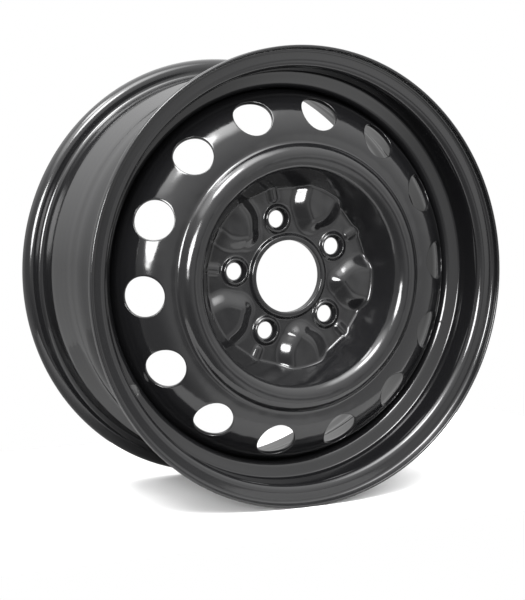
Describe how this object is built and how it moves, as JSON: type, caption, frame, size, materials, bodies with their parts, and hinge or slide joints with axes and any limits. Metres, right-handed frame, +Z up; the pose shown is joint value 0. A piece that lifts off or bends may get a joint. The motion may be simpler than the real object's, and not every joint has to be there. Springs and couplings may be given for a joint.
{
  "type": "steel wheel rim",
  "caption": "Black pressed-steel car wheel: a rolled drop-centre rim welded to a stamped, dished disc with a ring of round hand holes, stud holes and a lipped hub bore.",
  "frame": {"origin": "wheel centre: on the wheel's axis, midway between the two lips of the rim", "axes": "+Y along the wheel's axis to the inboard side, so the styled outboard face looks along -Y; +Z up as the wheel stands in the picture"},
  "size_m": [0.4401, 0.1998, 0.4402],
  "materials": {
    "black_paint": "semi-gloss black baked paint over rolled and stamped steel",
    "weld_paint": "the same black paint over rippled weld beads"
  },
  "bodies": {
    "root": {"rim": "black_paint", "disc": "black_paint", "disc_welds": "weld_paint"}
  },
  "joints": []
}
